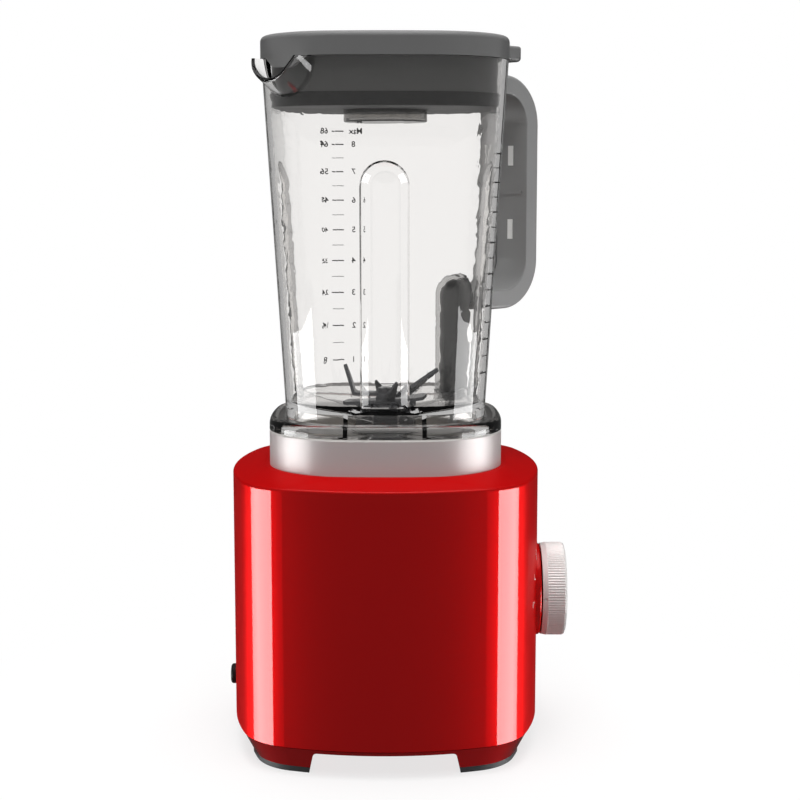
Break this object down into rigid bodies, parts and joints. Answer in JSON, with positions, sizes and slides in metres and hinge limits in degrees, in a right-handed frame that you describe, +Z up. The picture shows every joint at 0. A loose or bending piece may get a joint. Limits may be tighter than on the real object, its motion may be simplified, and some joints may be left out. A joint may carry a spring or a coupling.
{
  "type": "countertop blender",
  "caption": "Countertop blender: enamelled motor base with a speed dial, clear square jar with handle and pouring spout, steel blades, dark lid and clear measuring cup.",
  "frame": {"origin": "point where the vertical drive axis meets the table the feet stand on", "axes": "+Z up, +X towards the speed dial, the jar's handle over the +X +Y corner and its spout over the -X -Y corner"},
  "size_m": [0.2009, 0.1851, 0.4138],
  "materials": {
    "red_enamel": "gloss",
    "dark_red_plastic": "satin",
    "foot_rubber": "matte",
    "seal_rubber": "matte",
    "satin_aluminium": "satin",
    "cast_aluminium": "matte",
    "black_plastic": "matte",
    "grey_plastic": "satin",
    "plug_plastic": "matte",
    "dark_post": "satin",
    "white_nylon": "satin",
    "clear_jar": "gloss",
    "clear_cup": "gloss",
    "knob_chrome": "satin",
    "zinc_steel": "satin",
    "bearing_steel": "polished",
    "hub_steel": "satin",
    "blade_steel": "satin",
    "coupler_steel": "satin",
    "lamination_steel": "matte",
    "copper_wire": "gloss",
    "commutator_copper": "satin",
    "brass_sheet": "satin",
    "carbon": "matte",
    "board_green": "satin",
    "component_black": "matte"
  },
  "bodies": {
    "base": {"base_housing": "red_enamel", "bottom_pan": "dark_red_plastic", "foot_pads": "foot_rubber", "pan_screws": "zinc_steel", "trim_band": "satin_aluminium", "jar_seat": "black_plastic", "base_shaft_seal": "seal_rubber", "cord_gland": "black_plastic", "upper_bracket": "cast_aluminium", "lower_bracket": "cast_aluminium", "upper_motor_bearing": "bearing_steel", "lower_motor_bearing": "bearing_steel", "tie_bolts": "zinc_steel", "motor_screws": "zinc_steel", "motor_dampers": "seal_rubber", "stator_core": "lamination_steel", "field_windings": "copper_wire", "brush_holders": "brass_sheet", "carbon_brushes": "carbon", "brush_springs": "zinc_steel", "air_baffle": "black_plastic", "control_board": "board_green", "board_screws": "zinc_steel", "board_components": "component_black", "speed_encoder": "component_black"},
    "rotor": {"motor_shaft": "bearing_steel", "rotor_core": "lamination_steel", "armature_windings": "copper_wire", "commutator": "commutator_copper", "cooling_fan": "black_plastic", "drive_coupler": "coupler_steel"},
    "knob": {"speed_knob": "knob_chrome", "knob_core": "black_plastic", "knob_shaft": "bearing_steel"},
    "jar": {"jar_body": "clear_jar", "handle_lug": "grey_plastic", "handle_shell": "grey_plastic", "handle_inner_cover": "grey_plastic", "handle_clips": "white_nylon", "handle_post": "dark_post", "handle_screws": "zinc_steel", "bearing_hub": "hub_steel", "hub_nut": "black_plastic", "blade_bearings": "bearing_steel", "spindle_seal": "seal_rubber"},
    "blades": {"blade_spindle": "bearing_steel", "driven_coupler": "coupler_steel", "blade_hub": "blade_steel", "lower_blade": "blade_steel", "middle_blade": "blade_steel", "upper_blade": "blade_steel", "blade_nut": "blade_steel"},
    "lid": {"lid_shell": "grey_plastic", "lid_plug": "plug_plastic", "lid_gasket": "seal_rubber"},
    "cup": {"fill_cup": "clear_cup"}
  },
  "joints": [
    {"name": "motor_spin", "type": "hinge", "parent": "base", "child": "rotor", "pos_m": [0, 0, 0.093], "axis": [0, 0, 1], "continuous": true},
    {"name": "knob_turn", "type": "hinge", "parent": "base", "child": "knob", "pos_m": [0.1, 0, 0.0876], "axis": [1, 0, 0], "range_deg": [-225, 45]},
    {"name": "jar_lift", "type": "slide", "parent": "base", "child": "jar", "axis": [0, 0, 1], "range_m": [0, 0.08]},
    {"name": "blade_spin", "type": "hinge", "parent": "jar", "child": "blades", "pos_m": [0, 0, 0.19], "axis": [0, 0, 1], "continuous": true},
    {"name": "lid_lift", "type": "slide", "parent": "jar", "child": "lid", "axis": [0, 0, 1], "range_m": [0, 0.06]},
    {"name": "cup_lift", "type": "slide", "parent": "lid", "child": "cup", "axis": [0, 0, 1], "range_m": [0, 0.06]}
  ],
  "couplings": [
    {"joint": "blade_spin", "follows": "motor_spin", "ratio": 1}
  ]
}
